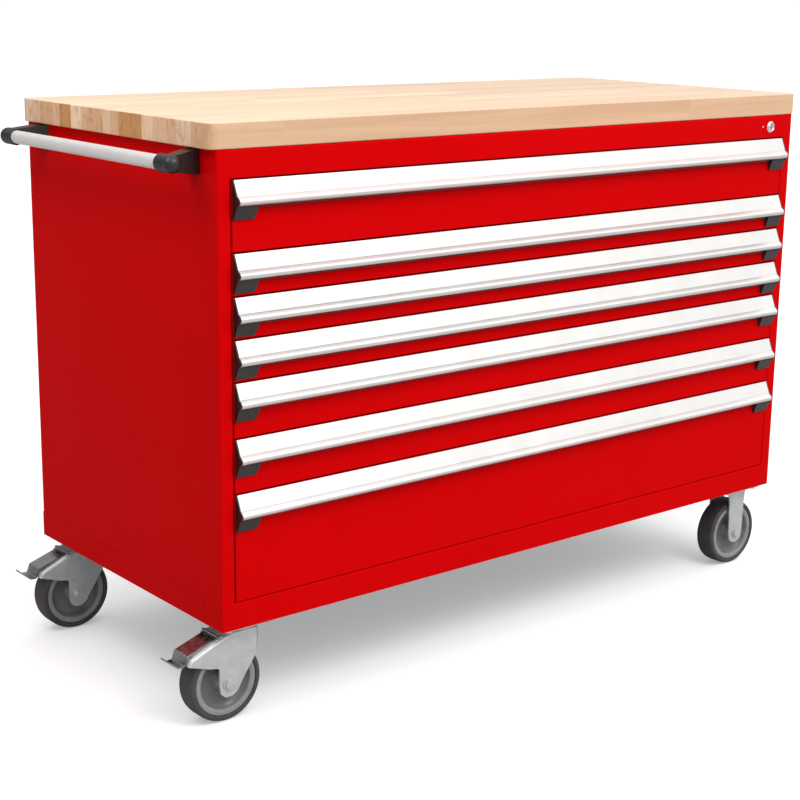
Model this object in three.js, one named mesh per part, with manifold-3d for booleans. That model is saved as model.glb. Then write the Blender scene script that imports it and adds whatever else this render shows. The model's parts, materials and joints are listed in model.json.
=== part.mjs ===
// Mobile workbench with seven drawers, a laminated worktop, a push handle and four casters.
//
// Units are millimetres and +Z is up. The bench is laid out in housing coordinates: X runs from
// the housing's left end, Y from its front face towards the back and Z from its underside. The
// last lines move it so that the origin is on the floor, under the middle of the whole object.

import * as THREE from 'three';
import { mergeVertices } from 'three/addons/utils/BufferGeometryUtils.js';
import Module from 'manifold-3d';

const wasm = await Module();
wasm.setup();

// ---------------------------------------------------------------- driving dimensions

const inch = 25.4;
const housing = { width: 60 * inch, depth: 27 * inch, height: 34 * inch };
const topThickness = 1.75 * inch;
const topOverhang = 0.5 * inch;
const casterHeight = 7.5 * inch;
const drawerPitches = [5, 3, 3, 3, 4, 4, 8].map((size) => size * inch);
const railHeight = 2 * inch;
const postWidth = 28;

const clearance = 0.3;
const sheet = 1.5;
const traySheet = 1.2;

const wheel = { radius: 3 * inch, width: 46, offset: 39 };
const swivelInset = 68;
const rigidInset = wheel.radius;
const casterInsetY = 57;
const pedalReach = 90;

const pullProjection = 21.5;
const drawerGap = 2.5;
const drawerTravel = 24 * inch;

// ---------------------------------------------------------------- materials

function finish(color, roughness, metalness) {
  return new THREE.MeshStandardMaterial({ color, roughness, metalness });
}

const redPaint = finish('#c9050b', 0.35, 0.1);
const maple = finish('#d8b98c', 0.5, 0);
const aluminium = finish('#d9d7d4', 0.35, 0.8);
const charcoalPlastic = finish('#2b2a2c', 0.6, 0);
const zinc = finish('#b4b7b8', 0.35, 0.9);
const greyPlastic = finish('#6d7276', 0.5, 0);
const tyreRubber = finish('#3a3433', 0.75, 0);
const slideSteel = finish('#9a9ca0', 0.4, 0.9);
const chrome = finish('#d0d2d4', 0.15, 1);

// ---------------------------------------------------------------- solids

function solidOf(geometry) {
  const bare = geometry.clone();
  bare.deleteAttribute('normal');
  bare.deleteAttribute('uv');
  const merged = mergeVertices(bare, 1e-4);
  return new wasm.Manifold(new wasm.Mesh({
    numProp: 3,
    vertProperties: Float32Array.from(merged.attributes.position.array),
    triVerts: Uint32Array.from(merged.index.array),
  }));
}

function geometryOf(solid) {
  const mesh = solid.getMesh();
  const geometry = new THREE.BufferGeometry();
  geometry.setAttribute('position', new THREE.BufferAttribute(mesh.vertProperties, 3));
  geometry.setIndex(new THREE.BufferAttribute(mesh.triVerts, 1));
  return geometry;
}

function join(...geometries) {
  return geometryOf(geometries.map(solidOf).reduce((whole, next) => whole.add(next)));
}

function cut(geometry, ...tools) {
  return geometryOf(tools.map(solidOf).reduce((rest, tool) => rest.subtract(tool), solidOf(geometry)));
}

function common(first, second) {
  return geometryOf(solidOf(first).intersect(solidOf(second)));
}

function box([x0, x1], [y0, y1], [z0, z1]) {
  const geometry = new THREE.BoxGeometry(x1 - x0, y1 - y0, z1 - z0);
  return geometry.translate((x0 + x1) / 2, (y0 + y1) / 2, (z0 + z1) / 2);
}

function extrude(outline, depth) {
  return new THREE.ExtrudeGeometry(new THREE.Shape(outline), { depth, bevelEnabled: false });
}

// An outline in (x, y) raised from z0 to z1.
function prismZ(outline, [z0, z1]) {
  return extrude(outline, z1 - z0).translate(0, 0, z0);
}

// An outline in (y, z) drawn out from x0 to x1.
function prismX(outline, [x0, x1]) {
  const turn = new THREE.Matrix4().makeBasis(
    new THREE.Vector3(0, 1, 0), new THREE.Vector3(0, 0, 1), new THREE.Vector3(1, 0, 0));
  return extrude(outline, x1 - x0).applyMatrix4(turn).translate(x0, 0, 0);
}

// An outline in (x, z) drawn out from y0 to y1.
function prismY(outline, [y0, y1]) {
  return extrude(outline, y1 - y0).rotateX(Math.PI / 2).translate(0, y1, 0);
}

// A round bar along Y.
function barY(radius, [y0, y1], [x, z], sides = 16) {
  return new THREE.CylinderGeometry(radius, radius, y1 - y0, sides).translate(x, (y0 + y1) / 2, z);
}

// A round bar along Z.
function barZ(radius, [z0, z1], [x, y], sides = 16) {
  const bar = new THREE.CylinderGeometry(radius, radius, z1 - z0, sides).rotateX(Math.PI / 2);
  return bar.translate(x, y, (z0 + z1) / 2);
}

// A profile of (radius, height) points turned about an axis parallel to Y.
function turnedY(profile, [x, y, z], sides) {
  return new THREE.LatheGeometry(profile, sides).translate(x, y, z);
}

function points(...pairs) {
  return pairs.map(([a, b]) => new THREE.Vector2(a, b));
}

// Points of an arc from one angle to another, in degrees.
function arc([a, b], radius, from, to, steps) {
  return Array.from({ length: steps + 1 }, (_, step) => {
    const angle = THREE.MathUtils.degToRad(from + (to - from) * step / steps);
    return new THREE.Vector2(a + radius * Math.cos(angle), b + radius * Math.sin(angle));
  });
}

// Closed outline of a bent sheet: a centre line with a rounded bend at each inner corner,
// thickened evenly to both sides.
function bentSheet(corners, thickness, bendRadius = 3, steps = 2) {
  const line = points(...corners);
  const centre = [];
  const normals = [];
  const sideways = (from, to) => new THREE.Vector2(from.y - to.y, to.x - from.x).normalize();
  line.forEach((corner, index) => {
    const before = line[index - 1];
    const after = line[index + 1];
    if (!before || !after) {
      centre.push(corner);
      normals.push(before ? sideways(before, corner) : sideways(corner, after));
      return;
    }
    const arriving = sideways(before, corner);
    const leaving = sideways(corner, after);
    const side = Math.sign(arriving.x * leaving.y - arriving.y * leaving.x);
    const reach = bendRadius / Math.cos(arriving.angleTo(leaving) / 2);
    const hub = arriving.clone().add(leaving).normalize().multiplyScalar(side * reach).add(corner);
    for (let step = 0; step <= steps; step += 1) {
      const normal = arriving.clone().lerp(leaving, step / steps).normalize();
      centre.push(hub.clone().addScaledVector(normal, -side * bendRadius));
      normals.push(normal);
    }
  });
  const shifted = (distance) => centre.map((point, i) => point.clone().addScaledVector(normals[i], distance));
  return [...shifted(-thickness / 2), ...shifted(thickness / 2).reverse()];
}

// A mirrored copy, with its triangles turned round so that they still face out.
function mirror(geometry, [scaleX, scaleY], [shiftX, shiftY]) {
  const copy = mergeVertices(geometry).scale(scaleX, scaleY, 1).translate(shiftX, shiftY, 0);
  const corners = Array.from(copy.index.array);
  for (let i = 0; i < corners.length; i += 3) {
    [corners[i], corners[i + 1]] = [corners[i + 1], corners[i]];
  }
  copy.setIndex(corners);
  return copy;
}

// The same piece at the housing's other end, and at its other face.
function mirrorX(geometry) {
  return mirror(geometry, [-1, 1], [housing.width, 0]);
}

function mirrorY(geometry) {
  return mirror(geometry, [1, -1], [0, housing.depth]);
}

// ---------------------------------------------------------------- the scene graph

const bench = new THREE.Group();

function add(name, geometry, material, parent = bench) {
  const mesh = new THREE.Mesh(geometry, material);
  mesh.name = name;
  parent.add(mesh);
  return mesh;
}

// ---------------------------------------------------------------- housing

const baseHeight = railHeight;
const headerBottom = housing.height - railHeight;
const half = sheet / 2;

const rearFlange = 25;

// A folded panel: front post, side and rear flange in one sheet.
function sidePanel() {
  const postReturn = 22;
  const plan = bentSheet([
    [postWidth - half, postReturn],
    [postWidth - half, half],
    [half, half],
    [half, housing.depth - half],
    [rearFlange, housing.depth - half],
  ], sheet);
  return prismZ(plan, [baseHeight + clearance, housing.height]);
}

// A folded panel between the side panels' rear flanges, with a ledge for the worktop.
function backPanel() {
  const inset = rearFlange + 2;
  const flange = 18;
  const topFlange = 40;
  const plan = bentSheet([
    [inset, housing.depth - flange],
    [inset, housing.depth - half],
    [housing.width - inset, housing.depth - half],
    [housing.width - inset, housing.depth - flange],
  ], sheet);
  const ledgeInset = inset + 4;
  const ledge = box([ledgeInset, housing.width - ledgeInset],
    [housing.depth - topFlange, housing.depth - half], [housing.height - sheet, housing.height]);
  return join(prismZ(plan, [baseHeight + clearance, housing.height]), ledge);
}

// The floor pan: a shallow open box whose front wall is the rail under the drawers.
function baseFrame() {
  const floor = 2.5;
  const lipDepth = 14;
  const pan = cut(
    box([0, housing.width], [0, housing.depth], [0, baseHeight]),
    box([sheet, housing.width - sheet], [sheet, housing.depth - sheet], [floor, baseHeight + 1]));
  const lip = box([postWidth, housing.width - postWidth], [half, lipDepth],
    [baseHeight - sheet, baseHeight]);
  return join(pan, lip);
}

const lock = { x: housing.width - 74, z: housing.height - railHeight / 2, radius: 8 };

// The header's section opens towards the back, with a flange that the worktop rests on.
function headerRail() {
  const topFlange = 40;
  const bottomFlange = 20;
  const section = bentSheet([
    [topFlange, housing.height - half],
    [half, housing.height - half],
    [half, headerBottom + half],
    [bottomFlange, headerBottom + half],
  ], sheet);
  const ends = postWidth + clearance;
  const rail = prismX(section, [ends, housing.width - ends]);
  return cut(rail, barY(lock.radius + clearance, [-1, 5], [lock.x, lock.z]));
}

// A slab that overhangs both ends, with round corners and rounded edges.
function worktop() {
  const cornerRadius = 0.75 * inch;
  const roundover = 3;
  const inner = cornerRadius - roundover;
  const left = cornerRadius - topOverhang;
  const right = housing.width - left;
  const front = cornerRadius;
  const back = housing.depth - cornerRadius;
  const corners = [[right, front, -90], [right, back, 0], [left, back, 90], [left, front, 180]];
  const outline = corners.flatMap(([x, y, from]) => arc([x, y], inner, from, from + 90, 6));
  const slab = new THREE.ExtrudeGeometry(new THREE.Shape(outline), {
    depth: topThickness - 2 * roundover,
    bevelThickness: roundover,
    bevelSize: roundover,
    bevelSegments: 3,
  });
  return slab.translate(0, 0, housing.height + clearance + roundover);
}

add('left_side_panel', sidePanel(), redPaint);
add('right_side_panel', mirrorX(sidePanel()), redPaint);
add('back_panel', backPanel(), redPaint);
add('base_frame', baseFrame(), redPaint);
add('header_rail', headerRail(), redPaint);
add('worktop', worktop(), maple);

// The plug of the lock with its keyway, its body behind the header and the cam on its end.
function lockCylinder() {
  const { x, z, radius } = lock;
  const face = -2.5;
  const tail = 24;
  const keyway = { width: 1.8, height: 8, depth: 6 };
  const cam = { from: -6, to: 26, halfHeight: 6 };
  const plug = barY(radius, [face, tail], [x, z]);
  const slot = box([x - keyway.width / 2, x + keyway.width / 2], [face - 1, face + keyway.depth],
    [z - keyway.height / 2, z + keyway.height / 2]);
  const arm = box([x + cam.from, x + cam.to], [tail - 1, tail + 2],
    [z - cam.halfHeight, z + cam.halfHeight]);
  return join(cut(plug, slot), arm);
}

add('lock_cylinder', lockCylinder(), chrome);

// ---------------------------------------------------------------- drawers and their slides

// Drawer fronts from the top down, each with the heights of its lower and upper edges.
const fronts = [];
drawerPitches.reduce((top, pitch) => {
  fronts.push({ bottom: top - pitch + drawerGap / 2, top: top - drawerGap / 2 });
  return top - pitch;
}, headerBottom);

const slide = {
  length: drawerTravel - 10,
  front: 28,
  cabinetWeb: 28.65,
  cabinetLip: 37.5,
  innerFrom: 31,
  innerTo: 43,
  trayLip: 38.5,
  halfHeight: 16,
  innerHalfHeight: 13,
  sheet: 1.5,
};
const trayInset = 46;
const trayRise = 8;
const frontDepth = 18;
const frontInset = postWidth + drawerGap;

function slideCentre(front) {
  return front.bottom + trayRise + 21;
}

// Section of a slide channel that opens sideways, from its web at one x to its lips at another.
function channelSection(web, lip, z) {
  const reach = slide.halfHeight - slide.sheet / 2;
  const corners = [[lip, z - reach], [web, z - reach], [web, z + reach], [lip, z + reach]];
  return bentSheet(corners, slide.sheet, 1, 1);
}

// Two columns that carry one cabinet channel for each drawer.
function slideRack() {
  const foot = baseHeight + clearance + 1;
  const head = headerBottom - 2;
  const columnDepth = 40;
  const near = 45;
  const far = housing.depth - 50;
  const outer = sheet + clearance + 1;
  const inner = slide.cabinetWeb - 1.25;
  const tail = 20;
  const columns = [[near, near + columnDepth], [far, far - columnDepth]].map(([back, open]) => {
    const plan = bentSheet([[outer, open], [outer, back], [inner, back], [inner, open]], sheet);
    return prismZ(plan, [foot, head]);
  });
  const channels = fronts.map((front) => {
    const section = channelSection(slide.cabinetWeb, slide.cabinetLip, slideCentre(front));
    return prismY(section, [slide.front, slide.front + slide.length + tail]);
  });
  return join(...columns, ...channels);
}

// The intermediate member: a light beam that runs inside the cabinet and the tray channels.
function slideMember(front) {
  const z = slideCentre(front);
  const h = slide.innerHalfHeight;
  const lip = 2;
  const web = 1.5;
  const middle = (slide.innerFrom + slide.innerTo) / 2;
  const right = points(
    [slide.innerTo, z - h], [slide.innerTo, z - h + lip], [middle + web, z - h + lip],
    [middle + web, z + h - lip], [slide.innerTo, z + h - lip], [slide.innerTo, z + h]);
  const left = right.map((point) => new THREE.Vector2(2 * middle - point.x, point.y)).reverse();
  return prismY([...right, ...left], [slide.front + 2, slide.front + 2 + slide.length]);
}

// An open sheet-metal tray with its folded front and the slide channels on its sides.
function drawerTray(front) {
  const { width } = housing;
  const wallDrop = 13;
  const floor = front.bottom + trayRise;
  const wallTop = front.top - wallDrop;
  const back = slide.front + slide.length + 4;
  const tray = cut(
    box([trayInset, width - trayInset], [frontDepth - traySheet, back], [floor, wallTop]),
    box([trayInset + traySheet, width - trayInset - traySheet], [frontDepth, back - traySheet],
      [floor + traySheet, wallTop + 1]));
  const pan = cut(
    box([frontInset, width - frontInset], [0, frontDepth], [front.bottom, front.top]),
    box([frontInset + sheet, width - frontInset - sheet], [sheet, frontDepth + 1],
      [front.bottom + sheet, front.top - sheet]));
  const frontBack = box([trayInset, width - trayInset], [frontDepth - traySheet, frontDepth],
    [front.bottom + half, front.top - half]);
  const web = trayInset - slide.sheet / 2 + 0.3;
  const section = channelSection(web, slide.trayLip, slideCentre(front));
  const channel = prismY(section, [slide.front + 2, slide.front + slide.length]);
  return join(tray, pan, frontBack, channel, mirrorX(channel));
}

// Section of the pull in (y, z), with z counted from the drawer front's upper edge. A plate
// leans out from the edge to a rounded lip that the fingers hook behind.
function pullSection() {
  const nose = { y: -15.4, z: -37.6, radius: pullProjection - 15.4 };
  return [
    ...points([-clearance, 0], [-1.6, 0], [-12.8, -26.6], [-12.3, -27.6], [-14.6, -28.6]),
    ...arc([nose.y, nose.z], nose.radius, 130, 215, 4),
    ...points([-17.6, -45.4], [-15.6, -46.2], [-13.8, -45.2], [-10.9, -29], [-3, -11], [-2.6, -18],
      [-clearance, -18]),
  ];
}

// Section of a pull's end piece: it fills the pull's hollow and runs down the drawer front.
function pullEndSection() {
  return points([-clearance, -1], [-2, -2], [-12.4, -30], [-14.6, -46], [-3.2, -72.6], [-clearance, -72.6]);
}

// The pull with its two end pieces, whose inner edges slant outwards as they go down.
function drawerPull(front) {
  const from = frontInset + clearance;
  const to = housing.width - frontInset - clearance;
  const raise = (outline) => outline.map((point) => new THREE.Vector2(point.x, point.y + front.top));
  const wide = 62;
  const narrow = 50;
  const piece = prismX(raise(pullEndSection()), [from, from + wide]);
  const slant = prismY(points(
    [from - 1, front.top + 1], [from + wide, front.top + 1], [from + wide, front.top - 42],
    [from + narrow, front.top - 73], [from - 1, front.top - 73]), [-40, 10]);
  const end = common(piece, slant);
  return join(prismX(raise(pullSection()), [from, to]), end, mirrorX(end));
}

add('left_slide_rack', slideRack(), slideSteel);
add('right_slide_rack', mirrorX(slideRack()), slideSteel);
fronts.forEach((front, index) => {
  const name = `drawer_${index + 1}`;
  add(`${name}_tray`, drawerTray(front), redPaint);
  add(`${name}_pull`, drawerPull(front), aluminium);
  add(`${name}_left_slide`, slideMember(front), slideSteel);
  add(`${name}_right_slide`, mirrorX(slideMember(front)), slideSteel);
});

// ---------------------------------------------------------------- push handle

const handle = { x: -62, z: housing.height - 24, tubeRadius: 12.7, tubeWall: 2, barrelRadius: 16, sides: 24 };
const barrelFront = 22;
const barrelBack = 76;
const socketDepth = 24;

// The tube's ends sit in the sockets of the two brackets.
function handleTube() {
  const { x, z, tubeRadius, tubeWall } = handle;
  const from = barrelBack - socketDepth + clearance;
  const length = housing.depth - 2 * from;
  const profile = points([tubeRadius - tubeWall, 0], [tubeRadius, 0], [tubeRadius, length],
    [tubeRadius - tubeWall, length], [tubeRadius - tubeWall, 0]);
  return turnedY(profile, [x, from, z], handle.sides);
}

// A wedge-shaped arm from its foot on the side panel to the barrel that holds the tube's end.
function handleBracket() {
  const { x, z, barrelRadius, tubeRadius } = handle;
  const foot = { front: 52, back: 88, halfHeight: 21.5 };
  const neck = { front: barrelFront + 16, back: barrelBack - 12, halfHeight: barrelRadius - 1.5 };
  const plan = prismZ(points([-clearance, foot.front], [-clearance, foot.back], [x, neck.back],
    [x, neck.front]), [z - foot.halfHeight, z + foot.halfHeight]);
  const elevation = prismY(points([0, z - foot.halfHeight], [0, z + foot.halfHeight],
    [x, z + neck.halfHeight], [x, z - neck.halfHeight]), [0, foot.back]);
  const dome = 12;
  const capRadius = barrelRadius - dome;
  const barrel = turnedY([
    new THREE.Vector2(0, 0),
    ...arc([capRadius, dome], dome, -90, 0, 3),
    ...points([barrelRadius, barrelBack - barrelFront], [0, barrelBack - barrelFront]),
  ], [x, barrelFront, z], handle.sides);
  const socket = barY(tubeRadius + clearance, [barrelBack - socketDepth, barrelBack + 1], [x, z],
    handle.sides);
  return cut(join(common(plan, elevation), barrel), socket);
}

add('push_handle_tube', handleTube(), aluminium);
add('push_handle_front_bracket', handleBracket(), charcoalPlastic);
add('push_handle_rear_bracket', mirrorY(handleBracket()), charcoalPlastic);

// ---------------------------------------------------------------- casters

// Each caster is laid out about its own mounting point: x and y from the middle of its plate and
// z from the housing's underside.
const plate = { length: 4.5 * inch, width: 4 * inch, thickness: 4 };
const plateBottom = -clearance - plate.thickness;
const legOuter = 31;
const legInner = 27;
const pedalPivot = { x: -56, z: -21.5, radius: 3 };
const axleZ = -casterHeight + wheel.radius;
const axle = { radius: 6, headRadius: 10.5, headLength: 6 };
const wheelSides = 28;

// The plate under the housing with its four hexagonal bolt heads.
function mountingPlate() {
  const head = { radius: 8, height: 6, inset: 14 };
  const boltX = plate.length / 2 - head.inset;
  const boltY = plate.width / 2 - head.inset;
  const plateBox = box([-plate.length / 2, plate.length / 2], [-plate.width / 2, plate.width / 2],
    [plateBottom, -clearance]);
  const bolts = [-1, 1].flatMap((sx) => [-1, 1].map((sy) => (
    barZ(head.radius, [plateBottom - head.height, plateBottom + 1], [sx * boltX, sy * boltY], 6))));
  return join(plateBox, ...bolts);
}

const kingpin = { radius: 7, nutRadius: 14, nutBottom: -27, nutTop: -21 };

// The plate with the upper half of the raceway and the kingpin that the fork turns on.
function swivelPlate() {
  const { radius, nutRadius, nutBottom, nutTop } = kingpin;
  const raceBottom = -14.8;
  const raceway = new THREE.LatheGeometry(points(
    [0, nutBottom], [nutRadius, nutBottom], [nutRadius, nutTop], [radius, nutTop],
    [radius, raceBottom], [34, raceBottom], [38, -11], [36, plateBottom + 1],
    [0, plateBottom + 1]), 20).rotateX(Math.PI / 2);
  return join(mountingPlate(), raceway);
}

const crownTop = -15.4;
const forkSheet = 4;

// The fork's side view: a hood over the wheel on the pedal's side and a leg down to the axle.
function swivelForkOutline() {
  const axleX = -wheel.offset;
  return [
    ...points([-123, -58], [-120, -51], [-62, -26.5], [-34, -17], [-26, crownTop], [29, crownTop],
      [29, -36], [17, -78]),
    ...arc([axleX, axleZ], 23, -30, -170, 6),
    ...points([axleX - 22, -80], [-68, -74]),
  ];
}

// A pressed hood on two legs, with a lug inside each leg for the pedal's pin.
function swivelFork() {
  const crownBottom = crownTop - forkSheet;
  const below = -200;
  const lug = { halfLength: 7, inner: 23.7, outer: legInner + 0.3, bottom: -40, top: -18 };
  const shell = prismY(swivelForkOutline(), [-legOuter, legOuter]);
  const hollow = prismY(points([-140, below], [-140, -65], [-119, -56], [-62, -31], [-33, -21.5],
    [-26, crownBottom], [60, crownBottom], [60, below]), [-legInner, legInner]);
  const lugX = [pedalPivot.x - lug.halfLength, pedalPivot.x + lug.halfLength];
  const lugs = [[lug.inner, lug.outer], [-lug.outer, -lug.inner]].map((span) => (
    box(lugX, span, [lug.bottom, lug.top])));
  const through = [-legOuter - 1, legOuter + 1];
  return cut(join(cut(shell, hollow), ...lugs),
    barZ(kingpin.radius + clearance, [crownBottom - 1, 0], [0, 0]),
    barZ(kingpin.nutRadius + clearance, [kingpin.nutBottom - clearance, crownBottom], [0, 0]),
    barY(pedalPivot.radius + clearance, through, [pedalPivot.x, pedalPivot.z], 12),
    barY(axle.radius + clearance, through, [-wheel.offset, axleZ]));
}

// A bolt through both legs with a hexagon at each end.
function axleBolt(x) {
  const shank = barY(axle.radius, [-legOuter - 2, legOuter + 2], [x, axleZ]);
  const reach = legOuter + clearance;
  const ends = [[-reach - axle.headLength, -reach], [reach, reach + axle.headLength]];
  return join(shank, ...ends.map((span) => barY(axle.headRadius, span, [x, axleZ], 6)));
}

const coreRadius = 65;

// A moulded core: hub, web and rim.
function wheelCore(x) {
  const bore = axle.radius + clearance;
  const hub = { radius: 19, half: 25 };
  const rim = { inner: 52, outer: coreRadius, half: 22 };
  const web = 6;
  return turnedY(points([bore, -hub.half], [hub.radius, -hub.half], [hub.radius, -web],
    [rim.inner, -web], [rim.inner, -rim.half], [rim.outer, -rim.half], [rim.outer, rim.half],
    [rim.inner, rim.half], [rim.inner, web], [hub.radius, web], [hub.radius, hub.half],
    [bore, hub.half], [bore, -hub.half]), [x, 0, axleZ], wheelSides);
}

// A rubber tread on the core's rim, with chamfered shoulders.
function wheelTyre(x) {
  const inner = coreRadius + clearance;
  const shoulder = 4;
  const edge = wheel.width / 2;
  return turnedY(points([inner, -edge], [wheel.radius - shoulder, -edge],
    [wheel.radius, -edge + shoulder], [wheel.radius, edge - shoulder],
    [wheel.radius - shoulder, edge], [inner, edge], [inner, -edge]), [x, 0, axleZ], wheelSides);
}

// The total-lock pedal: a plate that slopes out from its pin, steps down and ends in a tread.
function brakePedal() {
  const tip = swivelInset + pedalReach - 1;
  const halfWidth = 22;
  const pinReach = 28.5;
  const section = bentSheet([[pedalPivot.x, pedalPivot.z], [-123, -43], [-131, -60], [-tip, -45]], 3);
  const tread = prismY(section, [-halfWidth, halfWidth]);
  const pin = barY(pedalPivot.radius, [-pinReach, pinReach], [pedalPivot.x, pedalPivot.z], 12);
  return join(tread, pin);
}

// Two straps that hang from the plate and end round the axle.
function rigidFork() {
  const legs = [[-legOuter, -legInner], [legInner, legOuter]].map((span) => prismY([
    ...points([-31, plateBottom + 1], [-26, -24]),
    ...arc([0, axleZ], 22, -170, -10, 6),
    ...points([26, -24], [31, plateBottom + 1]),
  ], span));
  const axleHole = barY(axle.radius + clearance, [-legOuter - 1, legOuter + 1], [0, axleZ]);
  return cut(join(mountingPlate(), ...legs), axleHole);
}

function casterGroup(x, y) {
  const group = new THREE.Group();
  group.position.set(x, y, 0);
  bench.add(group);
  return group;
}

for (const [side, y] of [['front', casterInsetY], ['rear', housing.depth - casterInsetY]]) {
  const swivel = casterGroup(swivelInset, y);
  add(`${side}_swivel_plate`, swivelPlate(), zinc, swivel);
  add(`${side}_swivel_fork`, swivelFork(), zinc, swivel);
  add(`${side}_swivel_axle`, axleBolt(-wheel.offset), zinc, swivel);
  add(`${side}_swivel_wheel_core`, wheelCore(-wheel.offset), greyPlastic, swivel);
  add(`${side}_swivel_tyre`, wheelTyre(-wheel.offset), tyreRubber, swivel);
  add(`${side}_brake_pedal`, brakePedal(), zinc, swivel);

  const rigid = casterGroup(housing.width - rigidInset, y);
  add(`${side}_rigid_fork`, rigidFork(), zinc, rigid);
  add(`${side}_rigid_axle`, axleBolt(0), zinc, rigid);
  add(`${side}_rigid_wheel_core`, wheelCore(0), greyPlastic, rigid);
  add(`${side}_rigid_tyre`, wheelTyre(0), tyreRubber, rigid);
}

// ---------------------------------------------------------------- origin on the floor

const bounds = new THREE.Box3().setFromObject(bench, true);
const middle = bounds.getCenter(new THREE.Vector3());
bench.position.set(-middle.x, -middle.y, -bounds.min.z);

export default bench;
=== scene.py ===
"""Looks of a mobile workbench: painted housing, seven drawers, laminated worktop and casters.

Shapes are laid out in millimetres in housing coordinates: x runs from the housing's left end,
y from its front face towards the back and z from its underside. The frame gives where that
corner is, and piece() turns a shape into metres there.
"""

import json
import math

import bmesh
import bpy
from mathutils import Matrix, Vector
from mathutils.geometry import tessellate_polygon

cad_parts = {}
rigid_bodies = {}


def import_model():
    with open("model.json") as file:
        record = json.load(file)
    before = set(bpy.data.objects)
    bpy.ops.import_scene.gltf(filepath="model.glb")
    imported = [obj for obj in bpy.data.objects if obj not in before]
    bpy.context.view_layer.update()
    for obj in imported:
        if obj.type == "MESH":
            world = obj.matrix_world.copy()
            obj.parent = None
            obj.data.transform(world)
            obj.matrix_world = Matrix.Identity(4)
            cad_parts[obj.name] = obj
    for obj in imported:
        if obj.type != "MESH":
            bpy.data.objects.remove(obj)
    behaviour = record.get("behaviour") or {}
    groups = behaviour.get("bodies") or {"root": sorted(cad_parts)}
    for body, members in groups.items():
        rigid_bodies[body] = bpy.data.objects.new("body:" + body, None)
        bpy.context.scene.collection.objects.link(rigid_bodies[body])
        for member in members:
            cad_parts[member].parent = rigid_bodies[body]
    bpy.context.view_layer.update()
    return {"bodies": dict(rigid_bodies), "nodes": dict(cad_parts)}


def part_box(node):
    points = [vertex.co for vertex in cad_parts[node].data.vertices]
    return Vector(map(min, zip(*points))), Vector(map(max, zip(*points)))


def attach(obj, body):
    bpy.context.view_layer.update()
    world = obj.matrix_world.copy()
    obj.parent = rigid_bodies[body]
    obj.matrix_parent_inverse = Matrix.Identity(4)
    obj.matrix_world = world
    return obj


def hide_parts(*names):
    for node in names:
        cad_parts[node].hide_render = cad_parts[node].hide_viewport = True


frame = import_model()

# ---------------------------------------------------------------- sizes from the frame

MM = 0.001
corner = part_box("base_frame")[0]


def span(node):
    """A CAD node's box as (x0, x1), (y0, y1), (z0, z1) in housing millimetres."""
    low, high = ((point - corner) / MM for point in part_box(node))
    return tuple(zip(low, high))


def middle(node):
    """The middle of a CAD node's box in housing millimetres."""
    return Vector([(low + high) / 2 for low, high in span(node)])


WIDTH, DEPTH, BASE = (high for low, high in span("base_frame"))
HEIGHT = span("left_side_panel")[2][1]
DRAWERS = range(1, 1 + sum(1 for body in frame["bodies"] if body.endswith("_slides")))
GAP = 0.3
SHEET = 1.5
HALF = SHEET / 2
POST = span("header_rail")[0][0] - GAP
HEADER = span("header_rail")[2][0]


# ---------------------------------------------------------------- forms


class Form:
    """Points in millimetres and the faces that join them."""

    def __init__(self, points, faces):
        self.points = [Vector(point) for point in points]
        self.faces = [tuple(face) for face in faces]

    def __add__(self, other):
        shift = len(self.points)
        faces = [tuple(index + shift for index in face) for face in other.faces]
        return Form(self.points + other.points, self.faces + faces)

    def moved(self, x=0, y=0, z=0):
        return Form([point + Vector((x, y, z)) for point in self.points], self.faces)

    def mirrored(self, axis, about=0.0):
        """The same form on the other side of a plane; axis is 0, 1 or 2."""
        points = [point.copy() for point in self.points]
        for point in points:
            point[axis] = 2 * about - point[axis]
        return Form(points, [face[::-1] for face in self.faces])

    def at_both_ends(self):
        return self + self.mirrored(0, WIDTH / 2)


ORDER = {"x": (1, 2, 0), "y": (0, 2, 1), "z": (0, 1, 2)}


def spot(axis, pair, along):
    """A point from its two outline coordinates and its place along an axis."""
    point = [0.0, 0.0, 0.0]
    first, second, third = ORDER[axis]
    point[first], point[second], point[third] = pair[0], pair[1], along
    return point


def loft(loops):
    """Faces between loops of equally many points, closed by the first and the last loop."""
    count = len(loops[0])
    faces = [tuple(reversed(range(count)))]
    for level in range(len(loops) - 1):
        low, high = level * count, (level + 1) * count
        for index in range(count):
            after = (index + 1) % count
            faces.append((low + index, low + after, high + after, high + index))
    faces.append(tuple(range((len(loops) - 1) * count, len(loops) * count)))
    return Form([point for loop in loops for point in loop], faces)


def prism(outline, axis, start, end):
    """An outline pushed straight along an axis."""
    return loft([[spot(axis, pair, along) for pair in outline] for along in (start, end)])


def block(xs, ys, zs):
    """A box from its spans along x, y and z."""
    return prism(rectangle(xs, ys), "z", *zs)


def plate(outline, holes, axis, start, end):
    """A flat plate with holes through it."""
    loops = [outline, *holes]
    flat = tessellate_polygon([[Vector((a, b, 0)) for a, b in loop] for loop in loops])
    pairs = [pair for loop in loops for pair in loop]
    count = len(pairs)
    points = [spot(axis, pair, along) for along in (start, end) for pair in pairs]
    faces = [tuple(face) for face in flat]
    faces += [tuple(index + count for index in reversed(face)) for face in flat]
    first = 0
    for loop in loops:
        for index in range(len(loop)):
            here, after = first + index, first + (index + 1) % len(loop)
            faces.append((here, after, after + count, here + count))
        first += len(loop)
    return Form(points, faces)


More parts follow.
